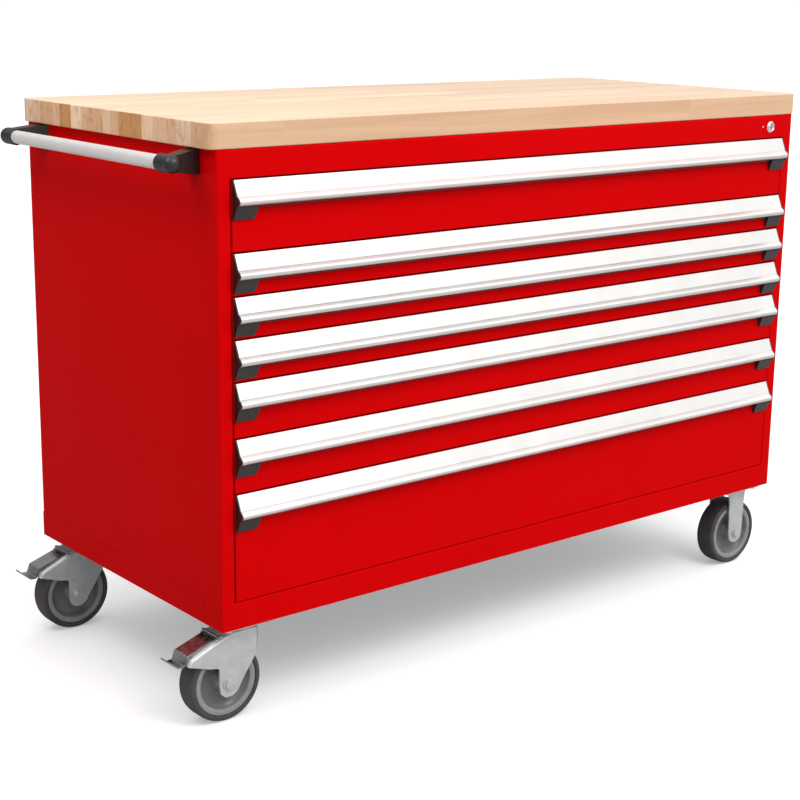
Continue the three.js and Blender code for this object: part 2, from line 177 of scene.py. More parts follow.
def turned(profile, axis, centre, sides=72):
    """A (radius, along) profile turned about an axis. It ends on the axis or closes on itself."""
    first, second, third = ORDER[axis]
    points, rings = [], []
    for radius, along in profile:
        hub = (centre[first], centre[second])
        if radius == 0:
            rings.append([len(points)] * sides)
            points.append(spot(axis, hub, centre[third] + along))
            continue
        rings.append(list(range(len(points), len(points) + sides)))
        for step in range(sides):
            angle = math.tau * step / sides
            pair = (hub[0] + radius * math.cos(angle), hub[1] + radius * math.sin(angle))
            points.append(spot(axis, pair, centre[third] + along))
    pairs = list(zip(rings, rings[1:]))
    if profile[0][0] > 0 and profile[-1][0] > 0:
        pairs.append((rings[-1], rings[0]))
    faces = []
    for low, high in pairs:
        for step in range(sides):
            after = (step + 1) % sides
            face = tuple(dict.fromkeys((low[step], low[after], high[after], high[step])))
            if len(face) > 2:
                faces.append(face)
    return Form(points, faces)


def rod(axis, centre, radius, start, end, sides=32):
    """A round bar along an axis, between two places measured from its centre."""
    return turned([(0, start), (radius, start), (radius, end), (0, end)], axis, centre, sides)


def arc(centre, radius, start, end, steps):
    """Points of an arc between two angles in degrees."""
    angles = [math.radians(start + (end - start) * step / steps) for step in range(steps + 1)]
    return [(centre[0] + radius * math.cos(a), centre[1] + radius * math.sin(a)) for a in angles]


def rounded(corners, radius, steps=5):
    """A closed outline with rounded corners. A corner (a, b, own_radius) has its own radius."""
    outline = []
    for index, corner_point in enumerate(corners):
        here = Vector(corner_point[:2])
        own = corner_point[2] if len(corner_point) > 2 else radius
        if own == 0:
            outline.append(tuple(here))
            continue
        back = (Vector(corners[index - 1][:2]) - here).normalized()
        forth = (Vector(corners[(index + 1) % len(corners)][:2]) - here).normalized()
        half = back.angle(forth) / 2
        hub = here + (back + forth).normalized() * (own / math.sin(half))
        start = here + back * (own / math.tan(half)) - hub
        end = here + forth * (own / math.tan(half)) - hub
        turn = math.atan2(start.x * end.y - start.y * end.x, start.dot(end))
        first = math.degrees(math.atan2(start.y, start.x))
        outline += arc(hub, own, first, first + math.degrees(turn), steps)
    return outline


def rectangle(first, second, radius=0, steps=5):
    """A rectangle's outline from its two spans, with rounded corners if it has a radius."""
    (a0, a1), (b0, b1) = first, second
    corners = [(a0, b0), (a1, b0), (a1, b1), (a0, b1)]
    return rounded(corners, radius, steps) if radius else corners


def rounding(radius):
    """The (inset, rise) steps of an edge's quarter round, from its face out to its side."""
    angles = [math.radians(15 * step) for step in range(7)]
    return [(radius * (1 - math.sin(a)), radius * (1 - math.cos(a))) for a in angles]


def bent(corners, thickness, radius=3.0, steps=5):
    """Closed outline of a bent sheet along a centre line, with rounded bends."""

    def sideways(a, b):
        return Vector((a.y - b.y, b.x - a.x)).normalized()

    line = [Vector(point) for point in corners]
    centre, normals = [], []
    for index, here in enumerate(line):
        if index in (0, len(line) - 1):
            centre.append(here)
            normals.append(sideways(*(line[:2] if index == 0 else line[-2:])))
            continue
        arriving, leaving = sideways(line[index - 1], here), sideways(here, line[index + 1])
        side = math.copysign(1, arriving.x * leaving.y - arriving.y * leaving.x)
        reach = radius / math.cos(arriving.angle(leaving) / 2)
        hub = here + (arriving + leaving).normalized() * side * reach
        for step in range(steps + 1):
            normal = arriving.slerp(leaving, step / steps)
            centre.append(hub - normal * side * radius)
            normals.append(normal)
    left = [tuple(c - n * thickness / 2) for c, n in zip(centre, normals)]
    right = [tuple(c + n * thickness / 2) for c, n in zip(centre, normals)]
    return left + right[::-1]


def as_object(name, points, faces):
    """A new object in the scene, with all its faces turned outwards."""
    mesh = bpy.data.meshes.new(name)
    mesh.from_pydata(points, [], faces)
    shape = bmesh.new()
    shape.from_mesh(mesh)
    bmesh.ops.recalc_face_normals(shape, faces=shape.faces)
    shape.to_mesh(mesh)
    shape.free()
    thing = bpy.data.objects.new(name, mesh)
    bpy.context.scene.collection.objects.link(thing)
    return thing


def combine(operation, form, *tools):
    """Joins tools to a form (UNION), cuts them out (DIFFERENCE) or keeps what they share."""
    things = [as_object("temporary", each.points, each.faces) for each in (form, *tools)]
    for tool in things[1:]:
        cut = things[0].modifiers.new("cut", "BOOLEAN")
        cut.operation = operation
        cut.solver = "EXACT"
        cut.object = tool
    depsgraph = bpy.context.evaluated_depsgraph_get()
    mesh = things[0].evaluated_get(depsgraph).to_mesh()
    made = Form([v.co for v in mesh.vertices], [p.vertices for p in mesh.polygons])
    for thing in things:
        bpy.data.objects.remove(thing)
    return made


# ---------------------------------------------------------------- materials


class Graph:
    """Short calls for one material's nodes."""

    def __init__(self, name, **sockets):
        self.material = bpy.data.materials.new(name)
        self.material.use_nodes = True
        self.nodes = self.material.node_tree.nodes
        self.links = self.material.node_tree.links
        self.shader = self.nodes["Principled BSDF"]
        for socket, value in sockets.items():
            self.shader.inputs[socket.replace("_", " ")].default_value = value
        self.place = self.put("ShaderNodeTexCoord").outputs["Object"]

    def put(self, kind, inputs=None, **settings):
        """Adds a node. An input that is a socket gets linked, any other is a plain value."""
        made = self.nodes.new(kind)
        for key, value in settings.items():
            setattr(made, key, value)
        for key, value in (inputs or {}).items():
            if isinstance(value, bpy.types.NodeSocket):
                self.links.new(value, made.inputs[key])
            else:
                made.inputs[key].default_value = value
        return made

    def math(self, operation, first, second=0.0):
        """One sum on values or sockets."""
        return self.put("ShaderNodeMath", {0: first, 1: second}, operation=operation).outputs[0]

    def stretch(self, scale, source=None):
        """Coordinates scaled by (x, y, z)."""
        inputs = {"Vector": source or self.place, "Scale": scale}
        return self.put("ShaderNodeMapping", inputs).outputs[0]

    def noise(self, scale, source=None, detail=2.0, roughness=0.5, distortion=0.0):
        """A soft random pattern, with about this many repeats in each unit of its source."""
        inputs = {"Vector": source or self.place, "Scale": scale, "Detail": detail}
        inputs.update({"Roughness": roughness, "Distortion": distortion})
        return self.put("ShaderNodeTexNoise", inputs).outputs["Fac"]

    def xyz(self, source):
        """The three parts of a vector."""
        return self.put("ShaderNodeSeparateXYZ", {0: source}).outputs

    def facing(self):
        """How far the surface faces along x, y and z, each from -1 to 1."""
        return self.xyz(self.put("ShaderNodeTexCoord").outputs["Normal"])

    def random(self, value, size):
        """A random number for each value of a number (1D) or of a pair (2D)."""
        socket = "W" if size == "1D" else "Vector"
        made = self.put("ShaderNodeTexWhiteNoise", {socket: value}, noise_dimensions=size)
        return made.outputs["Value"]

    def fit(self, value, low, high, to_low=0.0, to_high=1.0):
        """Maps a range onto another and stays inside it."""
        inputs = {"Value": value, "From Min": low, "From Max": high, "To Min": to_low, "To Max": to_high}
        return self.put("ShaderNodeMapRange", inputs).outputs["Result"]

    def ramp(self, value, stops):
        """A colour for each value, blended between (place, colour) stops."""
        made = self.put("ShaderNodeValToRGB", {"Fac": value})
        elements = made.color_ramp.elements
        while len(elements) < len(stops):
            elements.new(0.5)
        for element, (place, colour) in zip(elements, stops):
            element.position = place
            element.color = (*colour, 1)
        return made.outputs["Color"]

    def mix(self, share, first, second, blend="MIX"):
        """Blends two colours, or sockets of colours."""
        made = self.put("ShaderNodeMix", {0: share}, data_type="RGBA", blend_type=blend)
        for index, value in ((6, first), (7, second)):
            if isinstance(value, bpy.types.NodeSocket):
                self.links.new(value, made.inputs[index])
            else:
                made.inputs[index].default_value = (*value, 1)
        return made.outputs[2]

    def feed(self, socket, value):
        self.links.new(value, self.shader.inputs[socket])

    def bump(self, height, strength, relief):
        """Bump of a height pattern, in millimetres of relief."""
        inputs = {"Height": height, "Strength": strength, "Distance": relief * MM}
        self.feed("Normal", self.put("ShaderNodeBump", inputs).outputs["Normal"])


def red_paint():
    """Powder coat with fine orange peel. Faces that point down get a near-black painted shade."""
    graph = Graph("red_powder_coat", Specular_IOR_Level=0.012)
    drift = graph.noise(3.0, detail=3.0)
    paint = graph.mix(drift, (0.55, 0.0006, 0.0012), (0.62, 0.0010, 0.0022))
    # painted shade: faces pointing down turn near black, most where they face straight down
    underside_shade = (0.030, 0.020, 0.020)
    downward_shade_mask = graph.fit(graph.facing()[2], -0.5, -0.9)
    graph.feed("Base Color", graph.mix(downward_shade_mask, paint, underside_shade))
    graph.feed("Roughness", graph.fit(graph.noise(60.0), 0.3, 0.7, 0.36, 0.44))
    orange_peel = graph.noise(700.0, detail=1.5)
    graph.bump(orange_peel, strength=0.12, relief=0.08)
    return graph.material


STAVE_WIDTH = 0.0381
BOARD_LENGTH = 0.52


def staves(graph):
    """Each stave's random tone, each board's in it, and where a point lies across its stave."""
    along, across = graph.xyz(graph.place)[:2]
    ripple, ripples_per_metre = 0.22, 61.0
    sway = graph.math("SINE", graph.math("MULTIPLY", across, ripples_per_metre))
    count = graph.math("DIVIDE", across, STAVE_WIDTH)
    count = graph.math("ADD", count, graph.math("MULTIPLY", sway, ripple))
    stave = graph.math("FLOOR", count)
    tone = graph.fit(graph.random(stave, "1D"), 0.08, 0.92)
    boards = graph.math("DIVIDE", along, BOARD_LENGTH)
    joint_shift = graph.math("MULTIPLY", tone, 9.0)
    run = graph.math("FLOOR", graph.math("ADD", boards, joint_shift))
    cell = graph.put("ShaderNodeCombineXYZ", {0: stave, 1: run}).outputs[0]
    return tone, graph.random(cell, "2D"), graph.math("FRACT", count)


def end_grain(graph, tone, place):
    """Sawn ends: each stave has its own tone, flecked with growth rings."""
    flecks = graph.noise(1.0, graph.stretch((40.0, 60.0, 26.0), place), 3.0, 0.62, 0.9)
    stave_tone = graph.ramp(tone, [
        (0.0, (0.56, 0.28, 0.11)), (0.22, (0.84, 0.60, 0.41)), (0.42, (0.62, 0.35, 0.17)),
        (0.62, (0.76, 0.52, 0.36)), (0.82, (0.90, 0.68, 0.48)), (1.0, (0.66, 0.40, 0.22))])
    speckle = graph.ramp(flecks, [
        (0.30, (0.76, 0.64, 0.54)), (0.48, (1.0, 0.97, 0.94)), (0.75, (1.0, 1.0, 1.0))])
    return graph.mix(1.0, stave_tone, speckle, "MULTIPLY")


def maple():
    """Glued maple staves that run along x, with end grain on the ends and face grain in front."""
    graph = Graph("laminated_maple", Specular_IOR_Level=0.3)
    tone, board, within = staves(graph)
    shift = {0: graph.math("MULTIPLY", board, 3.0), 1: graph.math("MULTIPLY", tone, 2.0)}
    shift = graph.put("ShaderNodeCombineXYZ", shift).outputs[0]
    moved = graph.put("ShaderNodeVectorMath", {0: graph.place, 1: shift}, operation="ADD").outputs[0]
    streaks = graph.noise(1.0, graph.stretch((2.2, 70.0, 70.0), moved), 4.0, 0.6, 0.4)
    broad = graph.noise(1.0, graph.stretch((1.2, 16.0, 16.0), moved), 2.0, 0.5, 0.8)
    pores = graph.noise(1.0, graph.stretch((60.0, 900.0, 900.0), moved), 2.0, 0.6)
    grain = graph.ramp(streaks, [(0.35, (0.90, 0.84, 0.78)), (0.62, (1.0, 1.0, 1.0))])

    board_tone = graph.ramp(board, [
        (0.0, (0.76, 0.56, 0.40)), (0.35, (0.84, 0.65, 0.46)),
        (0.7, (0.80, 0.60, 0.45)), (1.0, (0.86, 0.71, 0.51))])
    top = graph.mix(1.0, board_tone, grain, "MULTIPLY")
    top = graph.mix(graph.fit(broad, 0.4, 0.75, 0.0, 0.45), top, (0.70, 0.48, 0.33))
    front = graph.mix(1.0, (0.71, 0.465, 0.295), grain, "MULTIPLY")
    front = graph.mix(graph.fit(broad, 0.35, 0.7, 0.0, 0.8), front, (0.58, 0.35, 0.21))
    facing_x, facing_y = (graph.math("ABSOLUTE", part) for part in graph.facing()[:2])
    colour = graph.mix(graph.fit(facing_y, 0.3, 0.8), top, front)
    colour = graph.mix(graph.fit(facing_x, 0.45, 0.70), colour, end_grain(graph, tone, moved))

    from_middle = graph.math("ABSOLUTE", graph.math("SUBTRACT", within, 0.5))
    glue_line = graph.fit(from_middle, 0.485, 0.5, 0.0, 0.35)
    glue_line = graph.math("MULTIPLY", glue_line, graph.math("SUBTRACT", 1.0, facing_y))
    graph.feed("Base Color", graph.mix(glue_line, colour, (0.40, 0.24, 0.12)))
    graph.feed("Roughness", graph.fit(streaks, 0.3, 0.7, 0.42, 0.55))
    graph.bump(graph.math("ADD", pores, streaks), strength=0.25, relief=0.15)
    return graph.material


def drawn_metal(name, dark, light, roughness, metallic=1.0, streak=(1.5, 260.0, 260.0)):
    """Metal with fine drawing lines along one axis, a faint cloudiness and satin gloss."""
    graph = Graph(name, Metallic=metallic)
    lines = graph.noise(1.0, graph.stretch(streak), 3.0, 0.7)
    cloud = graph.noise(14.0, detail=3.0)
    graph.feed("Base Color", graph.mix(graph.fit(cloud, 0.3, 0.7), dark, light))
    graph.feed("Roughness", graph.fit(lines, 0.25, 0.75, roughness - 0.06, roughness + 0.08))
    graph.bump(lines, strength=0.10, relief=0.05)
    return graph.material


def plated_steel(name, dark, light, roughness, cloud_scale=45.0, metallic=1.0):
    """Plating with a mottled tone, soft gloss and a shallow dimpled skin."""
    graph = Graph(name, Metallic=metallic)
    cloud = graph.noise(cloud_scale, detail=4.0, roughness=0.65)
    graph.feed("Base Color", graph.mix(graph.fit(cloud, 0.3, 0.7), dark, light))
    gloss = graph.noise(120.0)
    graph.feed("Roughness", graph.fit(gloss, 0.3, 0.7, roughness - 0.07, roughness + 0.09))
    graph.bump(graph.noise(90.0, detail=0.0), strength=0.02, relief=0.04)
    return graph.material


def moulded(name, dark, light, roughness, grain=900.0, relief=0.08):
    """Moulded plastic or rubber with a fine eroded texture."""
    graph = Graph(name)
    cloud = graph.noise(30.0, detail=3.0)
    graph.feed("Base Color", graph.mix(graph.fit(cloud, 0.3, 0.7), dark, light))
    gloss = graph.noise(180.0)
    graph.feed("Roughness", graph.fit(gloss, 0.3, 0.7, roughness - 0.06, roughness + 0.06))
    graph.bump(graph.noise(grain), strength=0.35, relief=relief)
    return graph.material


# A finish is the slot it fills and its material.
RED = ("red_paint", red_paint())
MAPLE = ("maple", maple())
ALUMINIUM = ("aluminium", drawn_metal(
    "satin_aluminium", (0.775, 0.76, 0.74), (0.835, 0.82, 0.80), 0.34))
TUBE_METAL = ("aluminium", drawn_metal(
    "brushed_tube", (0.68, 0.655, 0.65), (0.74, 0.715, 0.71), 0.38, 0.25, (260.0, 1.5, 260.0)))
CHARCOAL = ("charcoal_plastic", moulded(
    "charcoal_plastic", (0.010, 0.009, 0.009), (0.017, 0.015, 0.015), 0.36))
GREY = ("grey_plastic", moulded(
    "grey_wheel_plastic", (0.21, 0.218, 0.225), (0.27, 0.278, 0.285), 0.34))
# A darker copy of the wheel's grey: painted shade for the recessed web.
SHADED_GREY = ("grey_plastic", moulded(
    "shaded_grey_wheel_web", (0.11, 0.115, 0.12), (0.15, 0.155, 0.16), 0.34))
TYRE = ("tyre", moulded(
    "tyre_rubber", (0.040, 0.034, 0.033), (0.060, 0.052, 0.050), 0.62, 500.0, 0.12))
ZINC = ("zinc", plated_steel(
    "bright_zinc", (0.48, 0.50, 0.495), (0.59, 0.61, 0.605), 0.34, metallic=0.45))
# A darker copy of the zinc for the pedal: painted shade standing in for the shaded underside it reflects.
SHADED_ZINC = ("zinc", plated_steel("shaded_zinc", (0.26, 0.265, 0.27), (0.38, 0.385, 0.39), 0.22))
SLIDE = ("slide_steel", plated_steel("slide_steel", (0.42, 0.43, 0.44), (0.54, 0.55, 0.56), 0.36))
CHROME = ("chrome", plated_steel("chrome", (0.78, 0.78, 0.78), (0.86, 0.86, 0.86), 0.14, 20.0))


# ---------------------------------------------------------------- pieces


def round_edges(thing, width, segments=2, angle=38):
    """Rounds the edges that turn by more than an angle in degrees, by a width in millimetres."""
    edges = thing.modifiers.new("rounded_edges", "BEVEL")
    edges.width = width * MM
    edges.segments = segments
    edges.limit_method = "ANGLE"
    edges.angle_limit = math.radians(angle)


def piece(name, form, finish, body, replaces=(), bevel=0.0, segments=2, smooth=35):
    """Makes a form into an object in the frame, with its finish and the body it rides on."""
    slot, material = finish
    thing = as_object(name, [corner + point * MM for point in form.points], form.faces)
    mesh = thing.data
    mesh.materials.append(material)
    mesh.polygons.foreach_set("use_smooth", [True] * len(mesh.polygons))
    mesh.set_sharp_from_angle(angle=math.radians(smooth))
    if bevel:
        round_edges(thing, bevel, segments)
    flat_faces = thing.modifiers.new("flat_faces", "WEIGHTED_NORMAL")
    flat_faces.keep_sharp = True
    if replaces:
        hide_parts(*replaces)
    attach(thing, body)


def refinish(node, finish, bevel=0.4):
    """Gives a CAD node that stays a real finish and rounded edges."""
    thing = frame["nodes"][node]
    for slot in thing.material_slots:
        slot.material = finish[1]
    round_edges(thing, bevel, angle=50)


# ---------------------------------------------------------------- housing

SEAM_FROM = 60
LOCK_X = WIDTH - 74
LOCK_Z = (HEIGHT + HEADER) / 2
LOCK = (LOCK_X, 0, LOCK_Z)
PLUG = 8


def housing_shell():
    """Side panels with their folded posts, header and front rail, welded and painted as one."""
    post_flange, rear_flange, roof_flange, header_flange, rail_flange = 22, 25, 40, 20, 14
    overlap = 4
    plan = bent([(POST - HALF, post_flange), (POST - HALF, HALF), (HALF, HALF),
                 (HALF, DEPTH - HALF), (rear_flange, DEPTH - HALF)], SHEET)
    header = bent([(roof_flange, HEIGHT - HALF), (HALF, HEIGHT - HALF),
                   (HALF, HEADER + HALF), (header_flange, HEADER + HALF)], SHEET)
    rail = bent([(rail_flange, BASE - HALF), (HALF, BASE - HALF), (HALF, 0)], SHEET)
    side = prism(plan, "z", 0, HEIGHT)
    across = [prism(section, "x", POST - overlap, WIDTH - POST + overlap) for section in (header, rail)]
    shell = combine("UNION", side, side.mirrored(0, WIDTH / 2), *across)
    notch = block((-1, 30), (SEAM_FROM, DEPTH + 1), (-1, BASE + GAP))
    keyhole = rod("y", LOCK, PLUG + GAP, -5, 5, 72)
    return combine("DIFFERENCE", shell, notch, notch.mirrored(0, WIDTH / 2), keyhole)


def base_pan():
    """The floor pan between the posts, whose sides show below the side panels."""
    inner, seam = SHEET + GAP, SEAM_FROM + GAP
    floor_sheet = 2.5
    plan = [(inner, inner), (WIDTH - inner, inner), (WIDTH - inner, seam), (WIDTH, seam),
            (WIDTH, DEPTH), (0, DEPTH), (0, seam), (inner, seam)]
    side = block((0, SHEET), (seam, DEPTH), (0, BASE))
    rear = block((0, WIDTH), (DEPTH - SHEET, DEPTH), (0, BASE))
    return combine("UNION", prism(plan, "z", 0, floor_sheet), side, side.mirrored(0, WIDTH / 2), rear)


def worktop():
    """A slab with round corners and a small roundover on its edges."""
    xs, ys, (low, high) = span("worktop")
    corner_radius, roundover = 19, 2.0

    def loop(inset, z):
        across, deep = ((start + inset, end - inset) for start, end in (xs, ys))
        return [(x, y, z) for x, y in rectangle(across, deep, corner_radius - inset, 12)]

    edge = rounding(roundover)
    lower = [loop(inset, low + rise) for inset, rise in edge]
    upper = [loop(inset, high - rise) for inset, rise in reversed(edge)]
    return loft(lower + upper)


def lock_plug():
    """The lock's plug with its keyway, and the cam at its tail."""
    front, tail = span("lock_cylinder")[1]
    cam_front = tail - 3
    chamfer = 0.8
    barrel = turned([(0, front), (PLUG - chamfer, front), (PLUG, front + chamfer), (PLUG, cam_front),
                     (0, cam_front)], "y", LOCK)
    keyway = block((LOCK_X - 0.9, LOCK_X + 0.9), (front - 1, front + 6), (LOCK_Z - 4, LOCK_Z + 4))
    cam = prism(rectangle((LOCK_X - 6, LOCK_X + 26), (LOCK_Z - 6, LOCK_Z + 6), 3), "y", cam_front, tail)
    return combine("UNION", combine("DIFFERENCE", barrel, keyway), cam)


def lock_bezel():
    """The round-edged ring about the plug."""
    bore = PLUG + 0.4
    return turned([(bore, -GAP), (bore, -2.6), (9.2, -3.4), *arc((9.2, -1.4), 2.0, -90, 0, 4)[1:],
                   (12.2, -0.8), (12.2, -GAP)], "y", LOCK)


def stop_rivet():
    """A small domed rivet left of the lock."""
    dome = [(0, -1.5), (1.2, -1.3), (1.9, -0.5), (2.0, 0.2), (0, 0.2)]
    return turned(dome, "y", (LOCK_X - 25, 0, LOCK_Z + 1), 24)


def make_housing():
    shell_nodes = ("left_side_panel", "right_side_panel", "header_rail")
    piece("welded_housing", housing_shell(), RED, "housing", shell_nodes, bevel=0.5)
    piece("base_pan", base_pan(), RED, "housing", ("base_frame",), bevel=0.5)
    refinish("back_panel", RED)
    piece("maple_worktop", worktop(), MAPLE, "housing", ("worktop",))
    piece("lock_plug", lock_plug(), CHROME, "lock", ("lock_cylinder",), bevel=0.15)
    piece("lock_bezel", lock_bezel(), CHROME, "housing")
    piece("stop_rivet", stop_rivet(), CHROME, "housing")
    for side in ("left", "right"):
        refinish(f"{side}_slide_rack", SLIDE)


# ---------------------------------------------------------------- drawers

FRONT_DEPTH = 18
TRAY_SHEET = 1.2
TRAY_INSET = 46
TRAY_RISE = 8
TRAY_DROP = 13
HEM_FOLD = 0.7 * TRAY_SHEET


def drawer_front(xs, zs):
    """A folded pan: a flat front with rounded edges and returns towards the back."""
    section = [*rounding(1.6), (0, FRONT_DEPTH), (SHEET, FRONT_DEPTH), (SHEET, SHEET)]
    (x0, x1), (z0, z1) = xs, zs
    return loft([[(x0 + inset, y, z0 + inset), (x1 - inset, y, z0 + inset),
                  (x1 - inset, y, z1 - inset), (x0 + inset, y, z1 - inset)] for inset, y in section])


def tray_wall(axis, across, zs, along):
    """A slotted wall with a hem folded over its top edge."""
    hem, pitch, slot_width, least_ends = 9, 25.4, 3.2, 40
    (start, end), (low, high) = across, zs
    count = int((end - start - least_ends) / pitch)
    first = (start + end - count * pitch) / 2
    slots = []
    for index in range(count + 1):
        at = first + index * pitch
        slots.append(rectangle((at - slot_width / 2, at + slot_width / 2), (low + 9, high - hem - 5)))
    wall = plate(rectangle(across, (low, high - hem)), slots, axis, *along)
    top = prism(rectangle(across, (high - hem, high)), axis, along[0] - HEM_FOLD, along[1] + HEM_FOLD)
    return wall + top


def drawer_tray(zs, back):
    """Floor, slotted side walls and rear wall behind the front."""
    low, high = zs[0] + TRAY_RISE, zs[1] - TRAY_DROP
    xs, ys = (TRAY_INSET, WIDTH - TRAY_INSET), (FRONT_DEPTH, back)
    wall_zs = (low + TRAY_SHEET, high)
    floor = block(xs, ys, (low, low + TRAY_SHEET))
    outer = TRAY_INSET + HEM_FOLD
    side = tray_wall("x", ys, wall_zs, (outer, outer + TRAY_SHEET))
    between = (xs[0] + 3 * TRAY_SHEET, xs[1] - 3 * TRAY_SHEET)
    rear = tray_wall("y", between, wall_zs, (back - 2 * TRAY_SHEET, back - TRAY_SHEET))
    front = block(xs, (FRONT_DEPTH - TRAY_SHEET, FRONT_DEPTH), (zs[0] + 1, zs[1] - 1))
    return floor + side.at_both_ends() + rear + front


def drawer_runner(low, back):
    """The channel on a tray's side that the intermediate slide runs in."""
    lip, web = 38.5, TRAY_INSET - HALF + 0.3
    centre, reach = low + TRAY_RISE + 21, 16 - HALF
    bottom, top = centre - reach, centre + reach
    section = bent([(lip, bottom), (web, bottom), (web, top), (lip, top)], SHEET, 1.2, 4)
    return prism(section, "y", 30, back - 4).at_both_ends()


# Pulls are laid out in (y, z) from the upper edge of their drawer's front.
PULL_HEIGHT = 43.4
NOSE = (-15.4, -36.6)
NOSE_RADIUS = 6.1
NARROW = 41
WIDE = 47
CAP = 2.4
END_FOOT = [(-12.8, -49), (-4.2, -67.8), (-3.0, -69), (-GAP, -69)]


def below(top, section, start, end):
    """A pull's (y, z) section at a front's upper edge, pushed along x."""
    return prism([(y, top + z) for y, z in section], "x", start, end)


def pull_extrusion(xs, top):
    """The aluminium pull: a leaning plate, a step and a round nose."""
    section = [(-GAP, 0), (-1.6, 0), (-2.4, -0.9), (-12.9, -26.0), (-13.0, -27.0), (-14.4, -27.8),
               *arc(NOSE, NOSE_RADIUS, 126, 222, 10),
               (-17.8, -42.6), (-15.6, -PULL_HEIGHT), (-14.2, -42.8), (-13.6, -41.6),
               (-10.9, -29), (-3, -11), (-2.6, -18), (-GAP, -18)]
    inset = CAP + 0.1
    return below(top, section, xs[0] + inset, xs[1] - inset)


def shadow_strip(xs, top):
    """A dark strip behind and below the nose, a painted shadow of the pull on the front."""
    section = rectangle((-9.5, -4.5), (-47.6, -38), 1.2, 3)
    inset = WIDE + 1
    return below(top, section, xs[0] + inset, xs[1] - inset)


def pull_end(x, top):
    """A pull's plastic end: a wedge behind the plate down onto the front, and a cap beside it."""
    wedge = below(top, [(-GAP, -1), (-2, -2), (-12.2, -29), (-14.4, -45.8), *END_FOOT], x, x + WIDE + 1)
    slant = prism([(x - 1, top + 1), (x + WIDE, top + 1), (x + WIDE, top - 42), (x + NARROW, top - 74),
                   (x - 1, top - 74)], "y", -40, 10)
    cap = below(top, [(-GAP, 0), (-1.8, 0), (-13.2, -26.6), (-15.0, -28.2),
                      *arc(NOSE, NOSE_RADIUS + 0.2, 125, 222, 8), (-16.0, -45.5), *END_FOOT], x, x + CAP)
    return combine("UNION", combine("INTERSECT", wedge, slant), cap)


def make_drawer(number):
    name = f"drawer_{number}"
    xs, (_, back), zs = span(f"{name}_tray")
    low, top = zs
    pull_xs = span(f"{name}_pull")[0]
    tray, pull = (f"{name}_tray",), (f"{name}_pull",)
    piece(f"{name}_front", drawer_front(xs, zs), RED, name, tray)
    piece(f"{name}_liner", drawer_tray(zs, back), RED, name, tray, bevel=0.2, segments=1)
    piece(f"{name}_runners", drawer_runner(low, back), SLIDE, name, tray)
    extrusion = pull_extrusion(pull_xs, top)
    piece(f"{name}_extrusion", extrusion, ALUMINIUM, name, pull, bevel=0.25, smooth=28)
    # painted shadow: a dark strip standing in for the pull's shadow under its nose
    piece(f"{name}_shadow_strip", shadow_strip(pull_xs, top), CHARCOAL, name)
    end = pull_end(pull_xs[0], top)
    for side in ("left", "right"):
        piece(f"{name}_{side}_end_piece", end, CHARCOAL, name, pull, bevel=0.5)
        refinish(f"{name}_{side}_slide", SLIDE, 0.3)
        end = end.mirrored(0, WIDTH / 2)


# ---------------------------------------------------------------- push handle

BARREL = 16
BARREL_LENGTH = 54


def handle_tube():
    """The bright tube, open at both ends."""
    (x0, x1), (y0, y1), (z0, z1) = span("push_handle_tube")
    radius = (x1 - x0) / 2
    inner = radius - 2
    edge = 0.6
    profile = [(inner, y0), (radius - edge, y0), (radius, y0 + edge), (radius, y1 - edge),
               (radius - edge, y1), (inner, y1)]
    return turned(profile, "y", ((x0 + x1) / 2, 0, (z0 + z1) / 2))


def handle_barrel(centre):
    """The ribbed socket that a tube end goes into, with a domed front."""
    bore, bore_from, dome = 13, 30, 14
    groove = BARREL - 0.9
    profile = [(0, 5), *arc((BARREL - dome, 5 + dome), dome, -90, 0, 10)]
    for step in range(4):
        at = 26 + 6.2 * step
        profile += [(BARREL, at), (groove, at + 0.7), (groove, at + 1.9), (BARREL, at + 2.6)]
    profile += [(BARREL, BARREL_LENGTH - 1), (BARREL - 1, BARREL_LENGTH), (bore, BARREL_LENGTH),
                (bore, bore_from), (0, bore_from)]
    return turned(profile, "y", centre)


def handle_bracket():
    """An arm that widens to its foot on the side panel, and a ribbed barrel for the tube."""
    x, _, z = middle("push_handle_tube")
    front = span("push_handle_front_bracket")[1][0]
    foot_front, foot_back = 52, 88
    plan = prism([(-GAP, foot_front), (-GAP, foot_back), (x, front + BARREL_LENGTH - 12),
                  (x, front + 15)], "z", z - 30, z + 30)
    sides = prism([(0, z - 21.5), (0, z + 21.5), (-14, z + 20.5), (x, z + BARREL - 2),
                   (x, z - BARREL + 2), (-14, z - 20.5)], "y", 0, 150)
    return combine("UNION", combine("INTERSECT", plan, sides), handle_barrel((x, front, z)))


def make_handle():
    piece("push_handle_bar", handle_tube(), TUBE_METAL, "housing", ("push_handle_tube",))
    bracket = handle_bracket()
    for side in ("front", "rear"):
        node = f"push_handle_{side}_bracket"
        piece(f"{side}_handle_mount", bracket, CHARCOAL, "housing", (node,), bevel=0.8, segments=3)
        bracket = bracket.mirrored(1, DEPTH / 2)


# ---------------------------------------------------------------- casters

# Plates and forks are laid out round their plate's middle, wheels and bolts round their axle.
ORIGIN = (0, 0, 0)
PLATE = (114.3, 101.6)
PLATE_TOP = -GAP
PLATE_LOW = -4.3
LEG_OUTER = 31
STEEL = 4
FORK_TOP = -15.4
CROWN = 38
OFFSET = 39
PIVOT = (-56, -21.5)
TYRE_LOW, TYRE_HIGH = span("front_swivel_tyre")[2]
WHEEL = (TYRE_HIGH - TYRE_LOW) / 2
AXLE = (0, 0, (TYRE_HIGH + TYRE_LOW) / 2)


def hex_head(axis, centre, radius, start, end):
    """A hexagonal head with chamfered corners on its outer end."""
    first, second, _ = ORDER[axis]
    flat = radius * math.cos(math.radians(30))
    hexagon = arc((centre[first], centre[second]), radius, 0, 300, 5)
    chamfer = math.copysign(0.6 * (radius - flat), end - start)
    cone = turned([(0, start), (radius + 1, start), (radius + 1, end - chamfer),
                   (flat - 0.3, end), (0, end)], axis, centre, 48)
    return combine("INTERSECT", prism(hexagon, axis, *sorted((start, end))), cone)


